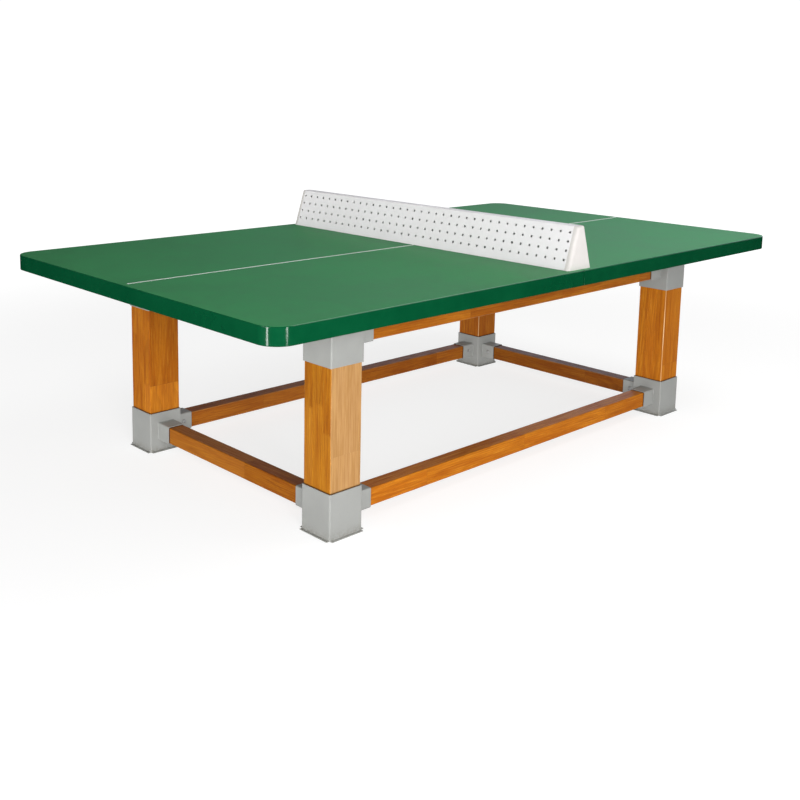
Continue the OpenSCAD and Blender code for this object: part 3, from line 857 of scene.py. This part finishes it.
def net_panel(material):
    """The folded, perforated sheet: its outer skin, with modifiers for its thickness and soft hole edges."""
    net = net_section()
    bend_r = NET_T * 1.5
    bend_s = net.height / math.cos(net.lean) - bend_r
    fold_start = math.hypot(NET_RIDGE_W / 2 - net.fold_x - NET_FOLD_R * math.cos(net.lean),
                            net.height - net.fold_z - NET_FOLD_R * math.sin(net.lean))
    bm = bmesh.new()

    def strip(side, points):
        """Sheet along the net through points of its section, in X and Z."""
        rows = [[(side * x, y, z) for y in net_positions(net)] for x, z in points]
        skin(bm, [add_ring(bm, row) for row in rows], closed=False)

    strip(1, [(x, net.base_z + z) for x, z in net_outline(net, 0.0)[1:-1]])
    for side in (-1, 1):
        perforated_face(bm, net, side, fold_start, bend_s)
        foot = face_point(net, 1, 0.0, bend_s)
        strip(side, [(foot.x, foot.z),
                     (foot.x + 0.30 * bend_r, net.base_z + 0.45 * bend_r),
                     (foot.x + 0.25 * bend_r, net.base_z + 0.15 * bend_r),
                     (foot.x, net.base_z + NET_LIFT),
                     (foot.x - NET_FLANGE_W, net.base_z + NET_LIFT)])
    bmesh.ops.remove_doubles(bm, verts=bm.verts, dist=0.05)
    bmesh.ops.recalc_face_normals(bm, faces=bm.faces)
    if max(bm.faces, key=lambda f: f.calc_center_median().z).normal.z < 0:
        bmesh.ops.reverse_faces(bm, faces=bm.faces)
    piece = add_piece("perforated_net", bm, material, "net_panel", clean=False)
    sheet = piece.modifiers.new("sheet_thickness", "SOLIDIFY")
    sheet.thickness = NET_T * MM
    sheet.offset = -1.0
    soften = piece.modifiers.new("soft_hole_edges", "BEVEL")
    soften.width = 0.35 * MM
    soften.segments = 2
    soften.angle_limit = math.radians(60)
    weighted_normals = 0
    piece.modifiers.move(weighted_normals, len(piece.modifiers) - 1)


def net_end(end_name, end, material):
    """End cheek that closes the net, its edge rolled over."""
    node = f"net_end_{end_name}"
    net = net_section()
    low, high = mm_box(node)
    inner_y, outer_y = (high.y, low.y) if end < 0 else (low.y, high.y)
    depth = abs(outer_y - inner_y)
    roll = 13.0
    smallest_fold = 0.5
    folds_inset = NET_FOLD_R - smallest_fold
    bm = bmesh.new()
    rings = []
    for inset, along in [(0.0, 0.0)] + [(inset, depth - drop) for inset, drop in quarter_round(roll, 7)]:
        y = inner_y + end * along
        outline = net_outline(net, min(inset, folds_inset))
        if inset >= folds_inset:
            shrink = inset - folds_inset
            outline = [(x - math.copysign(min(shrink, abs(x)), x), z - shrink) for x, z in outline]
        rings.append(add_ring(bm, [(x, y, net.base_z + max(z, NET_LIFT)) for x, z in outline]))
    solid(bm, rings)
    add_piece(f"net_cheek_{end_name}", bm, material, node)


# ---------- timber

def timber_section(half, radii, grooves):
    """Square section with a radius for each corner, and a fine V-groove at each glue line on its X faces."""
    groove = 0.35
    points = []
    for (sx, sy, start), r in zip(QUADRANTS, radii):
        points += arc(sx * (half - r), sy * (half - r), r, start, start + 90, 5)
        if grooves and (sx, sy) in ((-1, 1), (1, -1)):
            for g in (grooves if sx > 0 else tuple(reversed(grooves))):
                for step, depth in ((-groove, 0.0), (0.0, groove), (groove, 0.0)):
                    points.append((sx * (half - depth), g + sx * step))
    return points


def timber_bar(name, node, grain, stack_axis, material, seed, grooves=()):
    """Straight bar in the place of a CAD node, its arrises eased by hand: a little more here, less there."""
    low, high = mm_box(node)
    centre = (low + high) / 2
    length = high[grain] - low[grain]
    half = (high[stack_axis] - low[stack_axis]) / 2
    spacing = 22
    end_ease = 1.2
    wander_length = 70.0
    sections = max(12, round(length / spacing))
    bm = bmesh.new()
    rings = []
    for k in range(sections + 1):
        along = -length / 2 + length * k / sections
        ends = end_ease if k in (0, sections) else 0.0
        radii = []
        for corner in range(4):
            wander = noise.noise(Vector((along / wander_length, 9.1 * corner, seed)))
            radii.append(ARRIS_R * (0.92 + 0.22 * wander) + ends)
        ring = []
        for p, q in timber_section(half - ends * 0.5, radii, grooves):
            point = Vector((0, 0, 0))
            point[3 - grain - stack_axis] = p
            point[stack_axis] = q
            point[grain] = along
            ring.append(centre + point)
        rings.append(add_ring(bm, ring))
    solid(bm, rings)
    add_piece(name, bm, material, node, smooth_angle=28.0)


def make_timber():
    """Four posts of three lamellas and eight solid rails, each with its own figure."""
    post = mm_centre("post_rear_right")
    glue_lines = (-POST_LAMELLA / 2, POST_LAMELLA / 2)
    seed = 1.0
    for corner, look in POST_LOOKS.items():
        node = f"post_{corner}"
        mouth = mm_centre(node).z - SHOE_H
        material = timber_material(node, Z, Y, POST_LAMELLA * MM, mouth * MM, seed, look)
        timber_bar(f"laminated_post_{corner}", node, Z, Y, material, seed, glue_lines)
        seed += SEED_STEP
    for place, look in RAIL_LOOKS.items():
        node = f"rail_{place}"
        grain, stack_axis = (X, Y) if place.endswith(("front", "rear")) else (Y, X)
        mouth = post[grain] - BOX_S / 2 - SLEEVE_L
        material = timber_material(node, grain, stack_axis, RAIL_LAMELLA * MM, mouth * MM, seed, look)
        timber_bar(f"solid_rail_{place}", node, grain, stack_axis, material, seed)
        seed += SEED_STEP


# ---------- brackets

def corner_frame(sx, sy, post):
    """Takes a bracket drawn round the origin with its sleeves towards +X and +Y to its own corner."""
    return move(sx * post.x, sy * post.y, 0) @ Matrix.Diagonal((-sx, -sy, 1, 1))


def bracket_box(bm, corner_place, z, height, sleeve_z):
    """Folded box with its two welded rail sleeves."""
    square_tube(bm, corner_place @ move(0, 0, z), BOX_S, WALL_T, FOLD_R, height)
    middle = sleeve_z + SLEEVE_S / 2
    overlap = 0.4
    root = BOX_S / 2 - overlap
    for to_side, offset in ((turn(90, "Y"), (root, 0, middle)), (turn(-90, "X"), (0, root, middle))):
        place = corner_place @ move(*offset) @ to_side
        square_tube(bm, place, SLEEVE_S, WALL_T, FOLD_R, SLEEVE_L + overlap)
        weld_bead(bm, place @ move(0, 0, overlap), SLEEVE_S / 2, FOLD_R)


def foot_lip(bm, place):
    """Lip folded out at the foot of a shoe's wall."""
    bend = 3.0
    ease = 0.7
    overlap = 0.5
    wall_x = BOX_S / 2 - overlap
    tip_x = BOX_S / 2 + LIP_W
    profile = [(wall_x, 0.0), (tip_x - ease, 0.0), (tip_x, ease)]
    profile += [(tip_x, WALL_T - ease), (tip_x - ease, WALL_T)]
    profile += arc(BOX_S / 2 + bend, WALL_T + bend, bend, 270, 180, 5)
    profile.append((wall_x, WALL_T + bend))
    length = BOX_S - 2 * LIP_RELIEF
    sweep_profile(bm, place, profile, -length / 2, length / 2)


def shoe(corner, place, material):
    bm = bmesh.new()
    bracket_box(bm, place, 0.0, SHOE_H, SHOE_SLEEVE_Z)
    for quarter in range(4):
        foot_lip(bm, place @ turn(90 * quarter, "Z"))
    overlap = 0.3
    half = BOX_S / 2 - WALL_T + overlap
    plate(bm, place @ move(0, 0, BASE_PLATE_Z), half, half, 3.0, PLATE_T)
    add_piece(f"welded_shoe_{corner}", bm, material, f"shoe_{corner}")


def cap(corner, place, material):
    top_z = mm_box(f"cap_{corner}")[1].z
    bm = bmesh.new()
    bracket_box(bm, place, top_z - CAP_H, CAP_H, top_z - SHOE_SLEEVE_Z - SLEEVE_S)
    under_flange = place @ move(0, 0, top_z - PLATE_T)
    plate(bm, under_flange, FLANGE_S / 2, FLANGE_S / 2, FLANGE_R, PLATE_T)
    weld_bead(bm, under_flange @ turn(180, "X"), BOX_S / 2, FOLD_R)
    add_piece(f"welded_cap_{corner}", bm, material, f"cap_{corner}")


def make_brackets(material):
    post = mm_centre("post_rear_right")
    for corner, sx, sy in CORNERS:
        place = corner_frame(sx, sy, post)
        shoe(corner, place, material)
        cap(corner, place, material)


# ---------- fixings

def rail_screws(level, post, steel):
    """Button heads on the inner side faces of one level's sleeves."""
    bm = bmesh.new()
    z = mm_centre(f"rail_{level}_front").z
    middle = BOX_S / 2 + SLEEVE_L / 2
    on_x = move(middle, SLEEVE_S / 2, z) @ turn(90, "X")
    on_y = move(SLEEVE_S / 2, middle, z) @ turn(-90, "Y")
    for _, sx, sy in CORNERS:
        place = corner_frame(sx, sy, post)
        button_head(bm, place @ on_x, RAIL_SCREW_R)
        button_head(bm, place @ on_y, RAIL_SCREW_R)
    add_piece(f"button_screws_{level}", bm, steel, f"rail_screws_{level}")


def top_bolts(post, steel):
    """Bolts through the corners of the caps' flange plates into the top, and their washers."""
    bolts, washers = bmesh.new(), bmesh.new()
    z = mm_box("top_half_right")[0].z - PLATE_T - WASHER_T
    offset = FLANGE_S / 2 - FLANGE_BOLT_INSET
    for _, sx, sy in CORNERS:
        for u, v in ((-1, -1), (-1, 1), (1, -1), (1, 1)):
            place = move(sx * post.x + u * offset, sy * post.y + v * offset, z)
            hex_head(bolts, place, BOLT_FLATS, BOLT_HEAD_H)
            washer(washers, place, 2 * BOLT_R, BOLT_R + WASHER_PLAY)
    add_piece("top_hex_bolts", bolts, steel, "top_bolts")
    add_piece("top_bolt_washers", washers, steel, "top_washers")


def net_fixings(steel, bar_paint):
    """The net's studs, with clamp bars, washers and nuts under the top."""
    studs_low, studs_high = mm_box("net_studs")
    bars_low, bars_high = mm_box("net_clamp_plates")
    stud_x = studs_high.x - STUD_R
    washer_z = bars_low.z - WASHER_T
    rods, nuts, washers, bars = bmesh.new(), bmesh.new(), bmesh.new(), bmesh.new()
    for y in STUD_PLACES_Y:
        plate(bars, move(0, y, bars_low.z), bars_high.x, CLAMP_HALF_W, CLAMP_R, bars_high.z - bars_low.z)
        for side in (-1, 1):
            place = move(side * stud_x, y, 0)
            threaded_rod(rods, place, STUD_R, studs_low.z, bars_high.z)
            nut(nuts, place @ move(0, 0, washer_z - NUT_H), STUD_FLATS, STUD_R, NUT_H)
            washer(washers, place @ move(0, 0, washer_z), STUD_WASHER_R, STUD_R + WASHER_PLAY)
    add_piece("net_threaded_studs", rods, steel, "net_studs")
    add_piece("net_hex_nuts", nuts, steel, "net_nuts")
    add_piece("net_plain_washers", washers, steel, "net_washers")
    add_piece("net_clamp_bars", bars, bar_paint, "net_clamp_plates")


def seam_fixings(steel):
    """Bolts, nuts and washers through the halves' joint flanges, in the middle of each row of hollows."""
    washers_low, washers_high = mm_box("seam_washers")
    z = (washers_low.z + washers_high.z) / 2
    grip = washers_high.x - washers_low.x - 2 * WASHER_T
    bolt_end = mm_box("seam_bolts")[1].x
    half_y = mm_box("top_half_right")[1].y
    pitch = hollow_length(2 * half_y - 2 * RIM_T, POCKETS_Y) + RIB_T
    bolts, nuts, washers = bmesh.new(), bmesh.new(), bmesh.new()
    for row in range(POCKETS_Y):
        y = (row - (POCKETS_Y - 1) / 2) * pitch
        base = move(-grip / 2, y, z) @ turn(90, "Y")
        hex_head(bolts, base @ move(0, 0, -WASHER_T), BOLT_FLATS, BOLT_HEAD_H)
        threaded_rod(bolts, base @ turn(180, "X"), BOLT_R, -(bolt_end + grip / 2), -grip)
        nut(nuts, base @ move(0, 0, grip + WASHER_T), BOLT_FLATS, BOLT_R, NUT_H)
        for start in (-WASHER_T, grip):
            washer(washers, base @ move(0, 0, start), 2 * BOLT_R, BOLT_R + WASHER_PLAY)
    add_piece("seam_hex_bolts", bolts, steel, "seam_bolts")
    add_piece("seam_hex_nuts", nuts, steel, "seam_nuts")
    add_piece("seam_plain_washers", washers, steel, "seam_washers")


def post_screws(post, steel):
    """Heads of the screws through the shoes' base plates."""
    heads = bmesh.new()
    for _, sx, sy in CORNERS:
        for u in (-1, 1):
            place = move(sx * post.x + u * POST_SCREW_X, sy * post.y, BASE_PLATE_Z)
            hex_head(heads, place, BOLT_FLATS, BOLT_HEAD_H)
    add_piece("post_hex_screws", heads, steel, "post_screws_lower")


def make_fixings(steel, dull_steel, bar_paint):
    """Every screw, bolt, washer and nut that can be seen, each where its CAD node is."""
    post = mm_centre("post_rear_right")
    for level in ("lower", "upper"):
        rail_screws(level, post, steel)
    top_bolts(post, steel)
    net_fixings(steel, bar_paint)
    seam_fixings(steel)
    post_screws(post, dull_steel)


# ---------- stage

def make_floor():
    """Pale floor. It gives off most of its own light, so that the table's shadow stays faint, and far away it
    is as white as the backdrop. From beneath it is clear, so that the table's underside can be looked at."""
    size = 60.0
    mesh = bpy.data.meshes.new("studio_floor")
    mesh.from_pydata([(size * sx, size * sy, 0) for sx, sy, _ in QUADRANTS], [], [(0, 1, 2, 3)])
    floor = add_object("studio_floor", mesh)
    material = bpy.data.materials.new("studio_floor")
    material.use_nodes = True
    n = Network(material.node_tree)
    away = n.node("VectorMath", operation="LENGTH")
    n.fill(away, n.node("TexCoord").outputs["Object"])
    strength = n.remap(away.outputs["Value"], 2.0, 6.0, 0.76, 1.02)
    glow = n.node("Emission", Color=WHITE, Strength=strength)
    matt = n.node("BsdfDiffuse", Color=rgb(0.30, 0.30, 0.30))
    both = n.fill(n.node("AddShader"), glow.outputs[0], matt.outputs[0])
    beneath = n.node("NewGeometry").outputs["Backfacing"]
    clear = n.node("BsdfTransparent").outputs[0]
    n.node("OutputMaterial", Surface=n.choose(beneath, both, clear))
    mesh.materials.append(material)
    floor.visible_glossy = False
    floor.visible_diffuse = False


def make_surround():
    """White backdrop for the camera. The light it casts comes mostly from low down. What is mirrored in the
    table is dark low down, and a lit wall towards +X shows as a sheen on the top."""
    world = bpy.data.worlds.new("studio_surround")
    bpy.context.scene.world = world
    world.use_nodes = True
    n = Network(world.node_tree)
    way = n.split(n.node("TexCoord").outputs["Generated"])
    wall = n.remap(way[X], 0.40, 0.95, MIRROR_DARK_WALL, MIRROR_LIT_WALL)
    low = n.remap(way[Z], -0.02, 0.04, MIRROR_BELOW, wall)
    mirrored = n.remap(way[Z], 0.15, 0.60, low, MIRROR_ABOVE)
    cast = n.remap(way[Z], -0.10, 0.60, LIGHT_BELOW, LIGHT_ABOVE)
    light = n.node("Background", Color=WHITE, Strength=cast)
    mirror = n.node("Background", Color=rgb(0.82, 0.90, 1.05), Strength=mirrored)
    backdrop = n.node("Background", Color=WHITE, Strength=1.05)
    ray = n.node("LightPath")
    seen = n.choose(ray.outputs["Is Glossy Ray"], light.outputs[0], mirror.outputs[0])
    seen = n.choose(ray.outputs["Is Camera Ray"], seen, backdrop.outputs[0])
    n.node("OutputWorld", Surface=seen)


def soft_light(name, place, target, size, power, spread=180.0, mirrored=True):
    """Softbox that faces its target. A narrow spread keeps its light off what is beside the target."""
    data = bpy.data.lights.new(name, "AREA")
    data.shape = "RECTANGLE"
    data.size, data.size_y = size
    data.energy = power
    data.spread = math.radians(spread)
    lamp = add_object(name, data)
    lamp.location = place
    lamp.visible_camera = False
    lamp.visible_glossy = mirrored
    lamp.rotation_mode = "QUATERNION"
    lamp.rotation_quaternion = (Vector(target) - Vector(place)).to_track_quat("-Z", "Y")


def make_camera():
    """Camera at the photograph's viewpoint, found from the table's known size."""
    azimuth, depression, roll = 0.8170, 0.1590, 0.0153
    position = (-2.9874, -2.8194, 1.3930)
    forward = Vector((math.cos(depression) * math.cos(azimuth), math.cos(depression) * math.sin(azimuth),
                      -math.sin(depression)))
    level = forward.cross(Vector((0, 0, 1))).normalized()
    upright = level.cross(forward)
    right = math.cos(roll) * level + math.sin(roll) * upright
    up = -math.sin(roll) * level + math.cos(roll) * upright
    aim = Matrix((right, up, -forward)).transposed()
    data = bpy.data.cameras.new("camera")
    data.sensor_width = 36.0
    data.lens = 46.66
    data.shift_x = 0.0462
    data.shift_y = -0.1895
    data.clip_end = 500.0
    camera = add_object("camera", data)
    camera.matrix_world = move(*position) @ aim.to_4x4()
    bpy.context.scene.camera = camera


def make_stage():
    make_camera()
    make_floor()
    make_surround()
    soft_light("front_left", (-3.2, -4.2, 1.6), (-1.6, -0.7, 0.5), (2.4, 1.8), 52.0, 90.0, False)
    soft_light("front", (0.5, -5.4, 1.2), (0.5, -0.7, 0.4), (4.5, 1.6), 50.0, 180.0, False)
    soft_light("left", (-11.0, -0.4, 2.0), (0.0, 0.0, 0.5), (7.0, 3.6), 465.0)
    soft_light("overhead", (1.5, -1.5, 3.2), (0.5, -0.3, 0.76), (2.5, 2.5), 64.0)
    corner = (-1.30, -0.69, 0.60)
    soft_light("corner_strip_left", (-3.29, -0.90, 0.28), corner, (0.20, 0.45), 5.0)
    soft_light("corner_strip_front", (-1.20, -2.69, 0.47), corner, (0.20, 0.45), 5.0)
    bpy.context.scene.view_settings.view_transform = "Standard"
    bpy.context.scene.view_settings.look = "None"


# ---------- build

gelcoat = gelcoat_material()
net_paint = net_material("net_powder_coat", rgb(0.718, 0.700, 0.712), rgb(0.690, 0.670, 0.678))
# The cheeks' paint is a darker copy of the net's, for cheeks that face the front lamps: painted shade; its
# warmer tone is its own
shaded_cheek_paint = net_material("cheek_powder_coat_shaded", rgb(0.550, 0.524, 0.508), rgb(0.526, 0.498, 0.482))
line_paint = line_material()
bracket_paint = bracket_material()
bright_steel = steel_material("bright_steel", 0.62, 0.24)
dull_steel = steel_material("dull_steel", 0.34, 0.36)
brass = brass_material()

for side_name, side in SIDES:
    top_half(side_name, side, gelcoat)
net_panel(net_paint)
for end_name, end in ENDS:
    net_end(end_name, end, shaded_cheek_paint)
make_timber()
make_brackets(bracket_paint)
make_fixings(bright_steel, dull_steel, bracket_paint)

kept_materials = {
    "centre_line_left": line_paint,
    "centre_line_right": line_paint,
    "post_screws_upper": bright_steel,
    "top_inserts": brass,
}
for node, material in kept_materials.items():
    for material_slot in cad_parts[node].material_slots:
        material_slot.material = material

make_stage()
